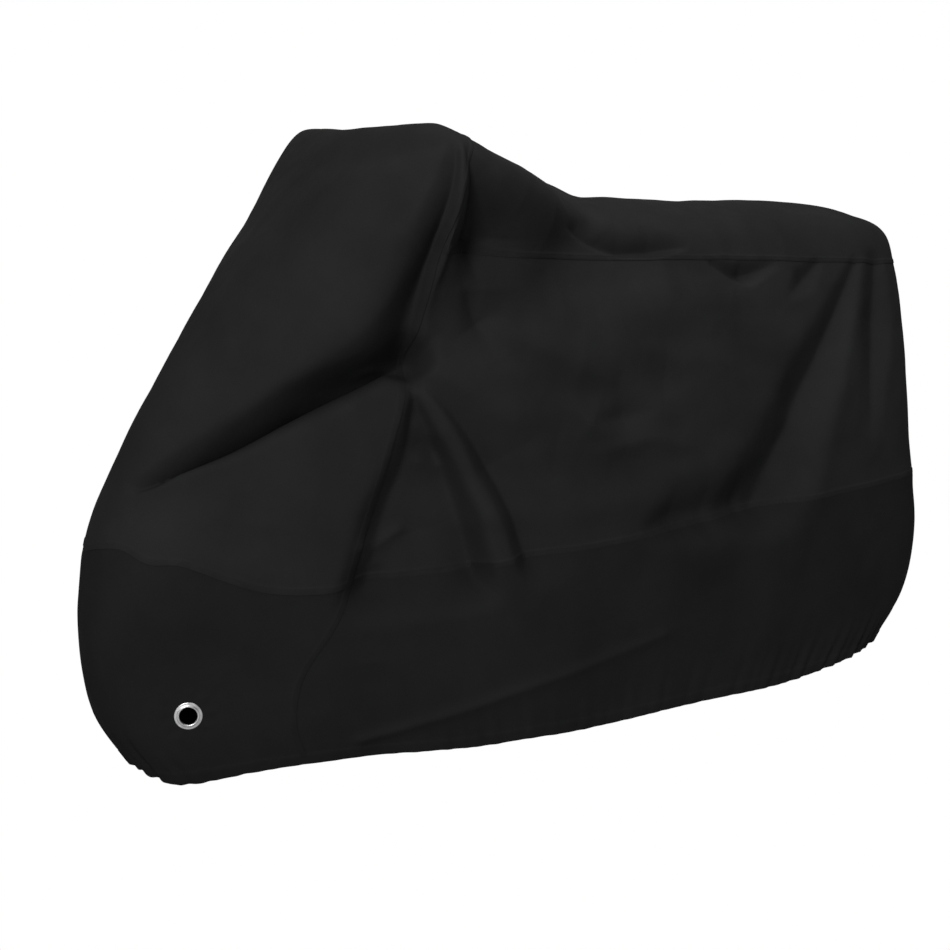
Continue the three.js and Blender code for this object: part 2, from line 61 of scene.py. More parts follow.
# Cloth, and the seams where one panel lies over the next
CLOTH = 1.0
BAND = 11.0
BAND_LIFT = 1.35
LAP = 9.0
HEM_BAND = 22.0
HEM_LIFT = 1.1
# A millimetre near a seam as a step in level, in the front's share and in way, and as a step in
# the shares that run along the panels behind the front and over the top. Those behind the front
# take up about the given part of the way round.
LEVEL_PER_MM = 0.00085
SHARE_PER_MM = 0.0016
WAY_PER_MM = 0.0005
REAR_WAYS = 0.75
REAR_SHARE_PER_MM = WAY_PER_MM / REAR_WAYS
TOP_SHARE_PER_MM = LEVEL_PER_MM / (1 - TOP_SEAM)
# Edges of a panel: how far rows stand from the edge, and how far each is lifted
OVER = [(0, BAND_LIFT - 0.15), (0.8, BAND_LIFT), (5.5, BAND_LIFT), (BAND - 0.8, BAND_LIFT),
        (BAND + 0.6, BAND_LIFT - 0.3), (BAND + 2.2, 0.25), (BAND + 4, 0)]
UNDER = [(-LAP, 0), (-LAP / 2, 0), (0, 0)]
HEM = [(0, HEM_LIFT - 0.3), (1, HEM_LIFT), (8, HEM_LIFT), (15, HEM_LIFT), (HEM_BAND, HEM_LIFT),
       (HEM_BAND + 1.5, 0.3), (HEM_BAND + 3, 0)]
PLAIN = [(0, 0)]
# Grid steps between the edges' rows
FRONT_STEPS = 208
FRONT_ROWS = 185
BODY_STEPS = 262
BODY_ROWS = 140
TOP_STEPS = 250
TOP_ROWS = 104
SKIRT_STEPS = 470
SKIRT_ROWS = 72


def columns_of(names, rows):
    """A table as its columns, each under its name."""
    return {name: np.array([row[i] for row in rows], float) for i, name in enumerate(names)}


def rows_of(names, rows):
    """A table as its rows, each with the columns' names."""
    return [dict(zip(names, row)) for row in rows]


# How far the cover reaches at the nose and at the back, by level
REACH = columns_of(["level", "nose", "back"], [
    [0.0, -985, 905],
    [0.08, -1055, 990],
    [0.2, -1080, 1025],
    [0.32, -1065, 1008],
    [0.42, -1020, 992],
    [0.6, -895, 975],
    [0.8, -697, 965],
    [0.91, -526, 950],
    [1.0, -470, 900],
])
# Cross-sections from the nose (way 0) round one side to the back (way 1): how far along the
# length each one stands, its half widths at five levels, and its heights at five levels
WIDTH_NAMES = ["hem_width", "skirt_width", "middle_width", "seam_width", "brow_width"]
WIDTH_LEVELS = [0.0, 0.32, 0.6, 0.8, 0.91]
HEIGHT_NAMES = ["hem_height", "skirt_height", "seam_height", "brow_height", "ridge_height"]
HEIGHT_LEVELS = [0.0, 0.32, 0.8, 0.91, 1.0]
SECTIONS = columns_of(["way", "along", *WIDTH_NAMES, *HEIGHT_NAMES], [
    [0.0, 0.0, 0, 0, 0, 0, 0, 25, 460, 1085, 1285, 1305],
    [0.06, 0.008, 60, 70, 60, 130, 170, 15, 455, 1085, 1290, 1305],
    [0.12, 0.035, 110, 120, 120, 225, 275, 0, 435, 1085, 1292, 1305],
    [0.2, 0.11, 170, 180, 210, 325, 325, 22, 395, 1065, 1262, 1300],
    [0.3, 0.22, 240, 250, 290, 300, 270, 42, 385, 1055, 1204, 1264],
    [0.4, 0.33, 300, 320, 320, 250, 190, 45, 410, 1050, 1147, 1219],
    [0.455, 0.39, 318, 340, 324, 243, 176, 50, 426, 1050, 1140, 1189],
    [0.52, 0.46, 330, 350, 320, 240, 170, 56, 440, 1050, 1141, 1190],
    [0.66, 0.61, 330, 340, 300, 220, 160, 75, 475, 1055, 1145, 1190],
    [0.78, 0.76, 310, 310, 280, 210, 150, 85, 505, 1055, 1155, 1197],
    [0.88, 0.89, 270, 270, 250, 200, 140, 115, 525, 1055, 1155, 1192],
    [0.94, 0.965, 200, 210, 200, 160, 110, 150, 540, 1055, 1145, 1175],
    [1.0, 1.0, 0, 0, 0, 0, 0, 185, 545, 1055, 1145, 1165],
])
# The cover leans to its left, so its right side stands higher: rise per unit of width, at full
# height
LEAN = 0.07
LEAN_HEIGHT = 1300

# The upright seam: how far round the side it runs, by level
UPRIGHT = columns_of(["level", "way"], [
    [0.0, 0.245],
    [0.16, 0.262],
    [0.32, 0.3],
    [0.63, 0.285],
    [0.8, 0.235],
    [0.9, 0.19],
    [1.0, 0.185],
])
# How far the skirt seam is pulled up or down along its way round, in levels, at the left and
# the right side
SEAM_PULL = columns_of(["way", "left", "right"], [
    [0.0, 0.002, 0.002],
    [0.045, 0.012, 0.008],
    [0.09, 0.02, 0.016],
    [0.125, 0.011, 0.01],
    [0.155, 0.02, 0.012],
    [0.19, 0.012, 0.006],
    [0.225, -0.001, 0.0],
    [0.255, -0.005, -0.004],
    [0.285, -0.003, -0.004],
    [0.31, 0.006, 0.003],
    [0.345, 0.004, 0.004],
    [0.39, 0.0, 0.002],
    [0.5, 0.003, 0.001],
    [0.64, -0.002, 0.0],
    [1.0, 0.0, 0.0],
])
SEAM_PULL_REACH = 0.16

# Folds, seen in side elevation: a path of x, z points, half widths and heights from its start
# to its end, how sharp the fold is (2 round, 1 a crisp crease, 0 with flat sides) and how much
# narrower it is on the left of its path than on the right. A height below zero is a trough,
# above zero a ridge.
FOLD_NAMES = ["side", "path", "widths", "heights", "edge", "lean"]
FOLDS = rows_of(FOLD_NAMES, [
    # The front face's edge, from its top corner down and along the deep fold, and the wall
    # behind it
    [LEFT, [[-445, 1235], [-497, 1130], [-553, 979], [-612, 891], [-748, 772], [-893, 648]],
     [36, 96, 106, 92, 60], [5, 30, 38, 34, 10], 0, 0.22],
    [LEFT, [[-424, 1226], [-442, 1145], [-460, 1062], [-486, 955], [-492, 878], [-492, 825]],
     [14, 46, 52], [-10, -34, -38], 0, 0.6],
    [LEFT, [[-414, 1228], [-443, 1060], [-487, 925], [-492, 868]], [11, 14, 14], [8, 12, 9], 1.5, 0],
    # The deep diagonal fold at the nose and the face that turns into it
    [LEFT, [[-985, 590], [-820, 655], [-650, 742], [-488, 818]],
     [15, 34, 44, 42], [-14, -60, -86, -78], 0, -0.5],
    [LEFT, [[-700, 770], [-620, 812], [-520, 850]], [24, 48, 42], [-6, -16, -14], 1.6, 0],
    [LEFT, [[-606, 796], [-560, 812], [-508, 812]], [8, 11, 9], [2, 10, 5], 1.5, 0],
    [LEFT, [[-400, 1228], [-368, 1148], [-343, 1069], [-340, 975]],
     [14, 42, 76, 70], [-8, -42, -64, -6], 0, -0.09],
    [LEFT, [[-335, 1225], [-268, 1160], [-180, 1106], [-80, 1060]],
     [44, 84, 104, 80], [0, 13, 14, 0], 2, 0],
    # From the gathered point down to the skirt
    [LEFT, [[-482, 785], [-503, 640], [-540, 530], [-564, 425], [-576, 380]],
     [20, 68, 96, 100], [-10, -38, -60, -62], 0, -0.46],
    [LEFT, [[-490, 770], [-434, 640], [-396, 525], [-366, 415], [-358, 380]],
     [12, 44, 84, 96], [-6, -44, -76, -76], 0, 0.62],
    [LEFT, [[-460, 785], [-384, 700], [-326, 612], [-276, 518], [-244, 430]],
     [18, 62, 68], [-8, -48, -42], 0, -0.42],
    [LEFT, [[-475, 707], [-448, 685]], [14, 14], [6, 6], 1.4, 0],
    [LEFT, [[-472, 666], [-441, 649]], [14, 14], [-6, -6], 1.4, 0],
    [LEFT, [[-468, 633], [-435, 620]], [15, 15], [6, 6], 1.4, 0],
    [LEFT, [[-586, 462], [-562, 428]], [15, 15], [9, 9], 1.4, 0],
    [LEFT, [[-556, 462], [-513, 492]], [14, 14], [9, 9], 1.4, 0],
    [LEFT, [[-484, 832], [-440, 885]], [14, 18], [-8, -3], 1.4, 0],
    # The front
    [LEFT, [[-440, 1246], [-510, 1236], [-600, 1216]], [16, 24, 24], [-6, -10, -2], 1.5, 0],
    [LEFT, [[-464, 1202], [-540, 1128], [-628, 1050]], [18, 26, 24], [-3, -9, -2], 1.5, 0],
    # The side
    [LEFT, [[-377, 979], [-340, 905], [-305, 837]], [20, 32, 26], [-4, -24, -4], 1.3, 0.1],
    [LEFT, [[-331, 915], [-239, 864], [-128, 820], [-20, 780]],
     [24, 46, 48, 30], [3, 20, 22, 2], 1.5, -0.2],
    [LEFT, [[-205, 758], [-130, 708], [-27, 632]], [22, 38, 30], [3, 17, 2], 1.4, -0.2],
    [LEFT, [[-255, 690], [-190, 670], [-112, 663]], [20, 34, 20], [-2, -10, -2], 1.6, 0],
    [LEFT, [[-60, 930], [60, 938], [220, 950], [350, 956]],
     [44, 56, 56, 40], [3, 18, 20, 3], 1.6, 0],
    [LEFT, [[-84, 703], [-10, 712], [56, 722]], [14, 26, 16], [-2, -11, -2], 1.5, 0],
    [LEFT, [[-91, 640], [0, 655], [70, 661], [177, 632]], [16, 24, 26, 18], [2, 9, 9, 2], 1.5, 0],
    [LEFT, [[40, 800], [110, 780], [170, 790]], [26, 40, 24], [-2, -10, -2], 1.6, 0],
    [LEFT, [[296, 1036], [372, 1014], [474, 1036]], [12, 27, 14], [-6, -30, -4], 0, 0],
    [LEFT, [[20, 466], [120, 480], [220, 488], [320, 500]],
     [22, 46, 50, 36], [-4, -38, -46, -24], 1.8, 0],
    # The rear
    [LEFT, [[736, 1040], [602, 839], [482, 645], [398, 505]],
     [18, 72, 116], [-10, -50, -84], 0, 0.17],
    [LEFT, [[745, 1030], [640, 760], [545, 520]], [30, 50], [4, 10], 1.5, 0],
    [LEFT, [[618, 1044], [560, 1000], [508, 968]], [14, 32, 20], [-6, -18, -3], 0, 0],
    [LEFT, [[822, 1045], [790, 880], [758, 720], [738, 630]],
     [32, 54, 50, 40], [-14, -28, -20, -3], 0, 0.3],
    # Below the foot of the top's slope
    [LEFT, [[-100, 1106], [-40, 1084], [30, 1070], [120, 1068], [220, 1070]], [16, 34, 38, 34, 14],
     [-2, -24, -44, -38, -3], 0, -0.45],
    # The right side
    [RIGHT, [[-960, 600], [-760, 690], [-500, 800]], [20, 36, 40], [-8, -30, -42], 0, -0.2],
    [RIGHT, [[-440, 1210], [-500, 1030], [-490, 860]], [24, 36], [-12, -28], 0, 0.3],
    [RIGHT, [[-400, 1220], [-440, 900]], [20, 22], [12, 8], 1.3, 0],
    [RIGHT, [[-480, 790], [-540, 640], [-570, 460]], [32, 48], [-26, -20], 0, -0.3],
    [RIGHT, [[-450, 790], [-340, 600], [-260, 480]], [30, 44], [-20, -12], 0, -0.1],
    [RIGHT, [[-350, 960], [-290, 820]], [20, 28], [-8, -10], 1.3, 0],
    [RIGHT, [[-250, 880], [80, 700]], [30, 42], [10, 8], 1.2, 0.2],
    [RIGHT, [[-40, 700], [200, 560]], [26, 36], [7, 9], 1.3, 0],
    [RIGHT, [[0, 930], [400, 950]], [45, 40], [9, 6], 1.5, 0],
    [RIGHT, [[-130, 1130], [20, 1100], [260, 1070]], [32, 32, 28], [-8, -22, -10], 1.5, 0],
    [RIGHT, [[740, 1040], [520, 800], [380, 560]], [24, 60, 90], [-10, -30, -40], 0, -0.1],
    [RIGHT, [[560, 1040], [470, 960]], [20, 20], [-8, -5], 1.4, 0],
])
SKIRT_FOLDS = rows_of(FOLD_NAMES, [
    [LEFT, [[-590, 78], [-255, 160], [84, 241]], [12, 16], [10, 6], 1.2, 0.2],
    [RIGHT, [[-560, 90], [-200, 180]], [18, 24], [8, 4], 1.3, 0],
])
# Places where the front's top corners are pushed out, each with its step and how far it is felt
PEAK_NAMES = ["place", "push", "radius"]
PEAKS = rows_of(PEAK_NAMES, [
    [[-425, -325, 1262], [0, -8, 9], 60],
    [[-432, -272, 1292], [0, -2, 13], 48],
    [[-440, 322, 1300], [-4, 8, 36], 70],
])
# The body's folds end at the skirt seam, between these two levels
FOLD_END = 0.24
FOLD_START = 0.332
# The point where the folds start from, drawn in
PINCH = {"side": LEFT, "x": -488, "z": 816, "radius": 36, "depth": 14}
# Where folds meet they add up, but the cloth is never drawn in further than this
DEEPEST = 122
# Folds fade out where the side turns to the middle of the nose, the back and the ridge
FADE_FROM = 20
FADE_TO = 110
# Steps along a path between two of its points, how round folds and peaks are at their tops, and
# how many half widths from its path a fold is felt
PATH_STEPS = 8
CREASE_ROUNDING = 0.12
TENT_CRISPNESS = 9
PEAK_EDGE = 1.3
FELT_WITHIN = 4
# Cloth that hangs over a trough: a path with half widths, how far the cloth is carried to the
# path's right, and how many half widths left of the path it is carried most
TUCK_NAMES = ["side", "path", "widths", "slips", "centre"]
TUCKS = rows_of(TUCK_NAMES, [
    [LEFT, [[-985, 590], [-820, 655], [-650, 742], [-488, 818]], [9, 14, 17], [-8, -24, -28], -1.2],
    [RIGHT, [[-760, 690], [-500, 800]], [24, 30], [4, 20], 1.2],
])
# Shares of a tuck's path between which it comes in at its start and goes out at its end
TUCK_IN = (0, 0.15)
TUCK_OUT = (0.99, 0.88)

# Eyelets in the front skirt strip, and the shares of its width and height they are set by
EYELET_PANEL = "skirt_front_cloth"
EYELET_SHARES = (0.52, 0.64, 0.72)
EYELET_LEVELS = (0.264, 0.344, 0.424)
# The cloth is flat out to the first radius and hangs as elsewhere from the second
FLAT_R = 31.0
FLAT_END_R = 60.0
CLOTH_HOLE_R = 22.0
# An eyelet in section: a rolled lip, then points as radius and height over the cloth
HOLE_R = 17.5
FLANGE_R = 27.5
GROOVE_R = 20.4
ROLL = 2.4
ROLL_MIDDLE = 1.2
ROLL_TURN = math.radians(150)
ROLL_STEPS = 11
FLANGE_SECTION = [(23.3, 1.95), (25.2, 1.7), (26.6, 1.5), (FLANGE_R - 0.2, 1.15),
                  (FLANGE_R, 0.75), (FLANGE_R - 0.2, 0.35)]
GROOVE_SECTION = [(GROOVE_R + 1, 0.2), (GROOVE_R, 0), (GROOVE_R, -CLOTH),
                  (GROOVE_R + 1, -CLOTH - 0.2)]
WASHER_SECTION = [(FLANGE_R - 0.4, -1.3), (FLANGE_R, -1.65), (FLANGE_R - 0.4, -2.1),
                  (FLANGE_R - 1.5, -2.3), (HOLE_R + 1.2, -2.3), (HOLE_R + 0.3, -2.1),
                  (HOLE_R, -1.6)]
RING_STEPS = 96
# The cloth round an eyelet puckers: how many times, and how high
PUCKERS = 9
PUCKER_HEIGHT = 0.9

# Sewing: stitches in rows, by their distance from a seam's edge
STITCH_PITCH = 4.0
STITCH_LENGTH = 3.1
STITCH_WIDTH = 0.75
STITCH_HEIGHT = 0.42
SEAM_ROWS = (2.6, 8.4)
HEM_ROW = 19.5
SEAM_STEPS = 800
# A stitch is a short ridge with pointed ends: its first end, two rings of three, its last end
STITCH_RINGS = (0.22, 0.78)
STITCH_FACES = [(0, 2, 1), (0, 3, 2), (0, 1, 3), (1, 2, 5, 4), (2, 3, 6, 5), (3, 1, 4, 6),
                (7, 4, 5), (7, 5, 6), (7, 6, 4)]

# Small unevenness of the cloth: size and height in millimetres
UNEVEN = [(140, 2.2), (70, 1.1), (34, 0.45)]
# Crinkles are thin ridges that come in patches
CRINKLE_SIZE = 95
CRINKLE_HEIGHT = 2.0
CRINKLED_PATCH = 260
CRINKLED_FROM = (-0.1, 0.6)
# The sides hang looser: softer and deeper, by size along, across and up
SLACK = [((170, 400, 85), 8.5), ((85, 300, 48), 3.2)]
SLACK_WAYS = (0.3, 0.4, 0.72, 0.86)
SLACK_LEVELS = (0.34, 0.42, 0.7, 0.78)
# The hem is gathered by elastic, most at the nose and the back: waves by their length, height
# and start, how far they wander, the mean and spread of their patches, and how strong they are
# between, at the nose and at the back
GATHER_LEVEL = 0.11
GATHER = [(38, 2.6, 0.4), (61, 2.2, 1.9), (23, 0.9, 4.1)]
GATHER_WANDER = 18
GATHER_WANDER_SIZE = 160
GATHER_PATCH = 210
GATHER_PATCH_RANGE = (0.7, 0.5)
GATHER_BETWEEN = 0.35
GATHER_NOSE = (0.2, 0.0)
GATHER_BACK = (0.72, 0.92)
# Ways round the side at which the hem's length is measured
HEM_LENGTH_WAYS = np.linspace(0, 1, 201)
# Random values repeat after this many cells and are read from this many cells in
NOISE_CELLS = 32
NOISE_OFFSET = 100
# Starting numbers of the random values
UNEVEN_SEED = 20
SLACK_SEED = 40
CRINKLE_SEEDS = (31, 32)
GATHER_SEEDS = (11, 12)

# Finishes. Sizes are in metres, and a bump is its depth and its strength
CLOTH_FINISHES = {
    "body_cloth": {"colour": (0.0128, 0.0128, 0.013), "roughness": 0.6,
                   "thread": 0.55 * MM, "crinkle": 0.05},
    "skirt_cloth": {"colour": (0.0098, 0.0098, 0.0099), "roughness": 0.74,
                    "thread": 0.7 * MM, "crinkle": 0.06},
}
CLOTH_SPECULAR = 0.012
WEAVE_BUMP = (0.06 * MM, 0.5)
FINE_BUMP = (0.6 * MM, 0.35)
CREASE_BUMP = (3.2 * MM, 0.45)
FINE_TIMES_SMALLER = 6
ROUGHNESS_SPREAD = 0.08
WORN_ROUGHNESS = -0.02
THREAD_COLOUR = (0.012, 0.012, 0.012)
THREAD_ROUGHNESS = 0.8
THREAD_SPECULAR = 0.02
TWIST_BUMP = (0.1 * MM, 0.6)
STEEL_COLOUR = (0.62, 0.61, 0.59)
STEEL_ROUGHNESS = 0.32
BRUSHED_STRETCH = (1, 40, 1)
BRUSHED_BUMP = (0.04 * MM, 0.4)
# Noise by its detail and roughness, where its size comes with the cloth, or else by its size,
# detail and roughness
CREASES = (5.0, 0.6)
FINE = (3.0, 0.6)
PATCHES = (0.22, 4.0, 0.55)
SPECKS = (0.0016, 1.0)
RUBS = (0.03, 3.0)
TWIST = (0.5 * MM, 1.0)
THREAD_PATCHES = (0.02,)
BRUSHED = (8 * MM, 3.0)
SMUDGES = (9 * MM, 3.0)
# The part of a noise's values that counts, and what it is stretched to, as tone or as roughness
NOISE_RANGE = (0.3, 0.7)
PATCH_TONES = (0.86, 1.14)
SPECK_TONES = (0.9, 1.1)
RUB_TONES = (-0.12, 0.0)
THREAD_TONES = (0.009, 0.014)
STEEL_TONES = (0.52, 0.66)
BRUSHED_ROUGHNESS = (0.2, 0.34)
SMUDGE_ROUGHNESS = (0.0, 0.14)

# The studio, in metres: lights by their place, what they point at, side and power
LIGHTS = {
    "key": [(-7.35, -8.05, 6.0), (-0.1, 0, 0.6), 2.9, 1270],
    "top": [(0.6, -0.6, 4.6), (0.1, 0, 0.8), 3.0, 110],
}
SKY_LIGHT = 0.26
WHITE = (1, 1, 1, 1)
FLOOR_REACH = 30
FLOOR_Z = -0.0005
FLOOR_COLOUR = (0.5, 0.5, 0.5)
FLOOR_ROUGHNESS = 0.6

# Half the step over which the shape's direction is taken, and the least lengths to divide by
SURFACE_PROBE = 0.002
TOO_SHORT = 1e-9
ON_PATH = 1e-6
SHARP_ANGLE = math.radians(60)


def mix(a, b, share):
    return a + (b - a) * share


def ease(start, end, value):
    """A smooth step from 0 to 1 between two values."""
    share = np.clip((value - start) / (end - start), 0, 1)
    return share * share * (3 - 2 * share)


def pick(table, rows):
    """One value from each given row of a table. Where the table has two axes, each row's value is
    from the next column."""
    return table[rows] if table.ndim == 1 else table[rows, np.arange(len(rows))]


def smooth(xs, ys, x):
    """A cubic through points, with each point's slope taken from its neighbours. Where ys has two
    axes, each x has its own column of them."""
    xs, ys, x = np.asarray(xs, float), np.asarray(ys, float), np.asarray(x, float)
    last = len(xs) - 1
    low = np.maximum(np.arange(last + 1) - 1, 0)
    high = np.minimum(np.arange(last + 1) + 1, last)
    slopes = ((ys[high] - ys[low]).T / (xs[high] - xs[low])).T
    i = np.clip(np.searchsorted(xs, x, side="right") - 1, 0, last - 1)
    step = xs[i + 1] - xs[i]
    u = (x - xs[i]) / step
    low_y = pick(ys, i)
    rise = pick(ys, i + 1) - low_y
    start = pick(slopes, i) * step
    end = pick(slopes, i + 1) * step
    return low_y + u * (start + u * (3 * rise - 2 * start - end + u * (start + end - 2 * rise)))


# The sections are carried past both ends as in a mirror, so that nose and back are round
SECTION_WAYS = [-SECTIONS["way"][1], *SECTIONS["way"], 2 - SECTIONS["way"][-2]]


def section_value(name, way):
    """One of the sections' columns, anywhere round the side."""
    sign = -1 if name in WIDTH_NAMES else 1
    values = SECTIONS[name]
    return smooth(SECTION_WAYS, [sign * values[1], *values, sign * values[-2]], way)


def plain_points(way, level, side):
    """The smooth shape without folds."""
    widths = [section_value(name, way) for name in WIDTH_NAMES]
    heights = [section_value(name, way) for name in HEIGHT_NAMES]
    width = smooth([*WIDTH_LEVELS, 1, 2 - WIDTH_LEVELS[-1]], [*widths, 0 * way, -widths[-1]], level)
    height = smooth([*HEIGHT_LEVELS, 2 - HEIGHT_LEVELS[-2]], [*heights, heights[-2]], level)
    nose = smooth(REACH["level"], REACH["nose"], level)
    back = smooth(REACH["level"], REACH["back"], level)
    y = side * width
    z = height + LEAN * y * height**2 / LEAN_HEIGHT**2
    return np.column_stack([mix(nose, back, section_value("along", way)), y, z])


def unit(vectors):
    return vectors / np.maximum(np.linalg.norm(vectors, axis=-1, keepdims=True), TOO_SHORT)


def plain_normals(way, level, side):
    """Directions out of the smooth shape."""
    ahead = plain_points(way + SURFACE_PROBE, level, side)
    behind = plain_points(way - SURFACE_PROBE, level, side)
    above = plain_points(way, level + SURFACE_PROBE, side)
    below = plain_points(way, level - SURFACE_PROBE, side)
    return unit(np.cross(ahead - behind, above - below)) * -side[:, None]


def path_points(path):
    """A path's points with a smooth line through them, evenly spaced."""
    path = np.array(path, float)
    lengths = np.concatenate([[0], np.cumsum(np.hypot(*np.diff(path, axis=0).T))])
    at = np.linspace(0, lengths[-1], PATH_STEPS * (len(path) - 1) + 1)
    return np.column_stack([smooth(lengths, path[:, 0], at), smooth(lengths, path[:, 1], at)])


def from_path(x, z, path):
    """The distance to a path, above zero on its left, the share of the path that is nearest, and
    how squarely the place lies on its left (1) or its right (-1)."""
    points = path_points(path)
    nearest = np.full(x.shape, np.inf)
    across = np.zeros(x.shape)
    share = np.zeros(x.shape)
    turn = np.zeros(x.shape)
    for k, (start, end) in enumerate(zip(points[:-1], points[1:])):
        run = end - start
        along = np.clip(((x - start[0]) * run[0] + (z - start[1]) * run[1]) / (run @ run), 0, 1)
        dx = x - start[0] - along * run[0]
        dz = z - start[1] - along * run[1]
        away = np.hypot(dx, dz)
        closer = away < nearest
        nearest[closer] = away[closer]
        left = (run[0] * dz - run[1] * dx) / math.hypot(*run)
        across[closer] = (away * np.sign(left))[closer]
        turn[closer] = (left / np.maximum(away, ON_PATH))[closer]
        share[closer] = ((k + along) / (len(points) - 1))[closer]
    return across, share, turn


def along_table(values, share):
    return np.interp(share, np.linspace(0, 1, len(values)), values)


def near_path(x, z, path, margin):
    """Which places are close enough to a path to feel it."""
    low = np.min(path, axis=0) - margin
    high = np.max(path, axis=0) + margin
    return (x > low[0]) & (x < high[0]) & (z > low[1]) & (z < high[1])


def folds_height(folds, x, z, side):
    height = np.zeros(x.shape)
    for fold in folds:
        margin = FELT_WITHIN * max(fold["widths"])
        near = (side == fold["side"]) & near_path(x, z, fold["path"], margin)
        across, share, turn = from_path(x[near], z[near], fold["path"])
        width = along_table(fold["widths"], share) * (1 - fold["lean"] * turn)
        away = np.sqrt((across / width) ** 2 + CREASE_ROUNDING**2) - CREASE_ROUNDING
        shape = np.exp(-(away ** fold["edge"])) if fold["edge"] > 0 else tent(away)
        height[near] += along_table(fold["heights"], share) * shape
    return height


def tent(away):
    """Flat sides that meet in a crisp line and end softly."""
    return np.logaddexp(0, TENT_CRISPNESS * (1 - away)) / np.logaddexp(0, TENT_CRISPNESS)


def peaks_step(points):
    step = np.zeros(points.shape)
    for peak in PEAKS:
        away = np.linalg.norm(points - peak["place"], axis=1) / peak["radius"]
        step += np.exp(-(away**PEAK_EDGE))[:, None] * peak["push"]
    return step


def pinch_height(x, z, side):
    away = np.hypot(x - PINCH["x"], z - PINCH["z"]) / PINCH["radius"]
    return np.where(side == PINCH["side"], -PINCH["depth"] * np.exp(-away * away), 0)


def slips(x, z, side):
    """How far the cloth is carried over its troughs, as steps in x and z."""
    step = np.zeros((len(x), 3))
    for tuck in TUCKS:
        margin = FELT_WITHIN * max(tuck["widths"])
        near = (side == tuck["side"]) & near_path(x, z, tuck["path"], margin)
        across, share, _ = from_path(x[near], z[near], tuck["path"])
        width = along_table(tuck["widths"], share)
        away = across / width - tuck["centre"]
        run = np.subtract(tuck["path"][-1], tuck["path"][0])
        right = np.array([run[1], 0, -run[0]]) / np.hypot(*run)
        carried = along_table(tuck["slips"], share) * ease(*TUCK_IN, share) * ease(*TUCK_OUT, share)
        step[near] += (carried * np.exp(-away * away))[:, None] * right
    return step


def noise(points, size, seed):
    """Smooth random values from -1 to 1 that change over a size, or over one size for each axis."""
    lattice = np.random.default_rng(seed).uniform(-1, 1, (NOISE_CELLS, NOISE_CELLS, NOISE_CELLS))
    place = points / np.asarray(size, float) + NOISE_OFFSET
    cell = np.floor(place).astype(int)
    u = place - cell
    u = u * u * (3 - 2 * u)
    total = np.zeros(len(points))
    for corner in itertools.product((0, 1), repeat=3):
        weight = np.prod(np.where(np.array(corner) == 1, u, 1 - u), axis=1)
        index = (cell + corner) % NOISE_CELLS
        total += weight * lattice[index[:, 0], index[:, 1], index[:, 2]]
    return total


def lengths_along(points):
    """The length of a line from its start to each of its points."""
    return np.concatenate([[0], np.cumsum(np.linalg.norm(np.diff(points, axis=0), axis=1))])


def hem_lengths():
    """The length along the hem from the nose, by way."""
    flat = np.zeros(len(HEM_LENGTH_WAYS))
    return lengths_along(plain_points(HEM_LENGTH_WAYS, flat, flat + LEFT))


HEM_LENGTHS = hem_lengths()


def gather_height(points, way, level, side):
    turned = np.where(way > 1, 2 - way, np.abs(way))
    place = np.interp(turned, HEM_LENGTH_WAYS, HEM_LENGTHS) * side
    wander_seed, patch_seed = GATHER_SEEDS
    place = place + GATHER_WANDER * noise(points * [1, 1, 0], GATHER_WANDER_SIZE, wander_seed)
    strength = GATHER_BETWEEN + ease(*GATHER_NOSE, turned) + ease(*GATHER_BACK, turned)
    waves = sum(height * np.sin(2 * math.pi * place / length + start)
                for length, height, start in GATHER)
    mean, spread = GATHER_PATCH_RANGE
    patches = mean + spread * noise(points, GATHER_PATCH, patch_seed)
    return waves * strength * ease(GATHER_LEVEL, 0.0, level) * patches


def layered_noise(points, layers, seed):
    return sum(tall * noise(points, size, seed + i) for i, (size, tall) in enumerate(layers))


def uneven_height(points):
    height = layered_noise(points, UNEVEN, UNEVEN_SEED)
    ridge_seed, patch_seed = CRINKLE_SEEDS
    ridges = 1 - 2 * np.abs(noise(points, CRINKLE_SIZE, ridge_seed))
    where = ease(*CRINKLED_FROM, noise(points, CRINKLED_PATCH, patch_seed))
    return height + CRINKLE_HEIGHT * ridges * where


def slack_height(points, way, level):
    height = layered_noise(points, SLACK, SLACK_SEED)
    starts, full, fades, ends = SLACK_WAYS
    lowest, low, high, highest = SLACK_LEVELS
    return (height * ease(starts, full, way) * ease(ends, fades, way)
            * ease(lowest, low, level) * ease(highest, high, level))


def seam_level(way, level, side):
    """A level with the skirt seam pulled up or down, as the cloth is drawn there."""
    way = np.clip(way, 0, 1)
    left_pull = smooth(SEAM_PULL["way"], SEAM_PULL["left"], way)
    right_pull = smooth(SEAM_PULL["way"], SEAM_PULL["right"], way)
    near = np.clip(1 - np.abs(level - SKIRT_SEAM) / SEAM_PULL_REACH, 0, 1)
    return level + np.where(side == LEFT, left_pull, right_pull) * near


def cloth_points(way, level, side):
    """The cloth's outer face with all its folds, and the directions out of the smooth shape."""
    level = seam_level(way, level, side)
    points = plain_points(way, level, side)
    normals = plain_normals(way, level, side)
    x, z = points[:, 0], points[:, 2]
    fade = ease(FADE_FROM, FADE_TO, np.abs(points[:, 1]))
    body = folds_height(FOLDS, x, z, side) + pinch_height(x, z, side)
    skirt = folds_height(SKIRT_FOLDS, x, z, side)
    height = (body * ease(FOLD_END, FOLD_START, level) + skirt) * fade
    height = np.where(height < 0, DEEPEST * np.tanh(height / DEEPEST), height)
    height += slack_height(points, way, level)
    height += uneven_height(points) + gather_height(points, way, level, side)
    slip = slips(x, z, side) * fade[:, None]
    slip -= normals * np.sum(slip * normals, axis=1, keepdims=True)
    points = points + normals * height[:, None] + slip + peaks_step(points)
    return points, normals


def upright_way(level):
    return smooth(UPRIGHT["level"], UPRIGHT["way"], level)


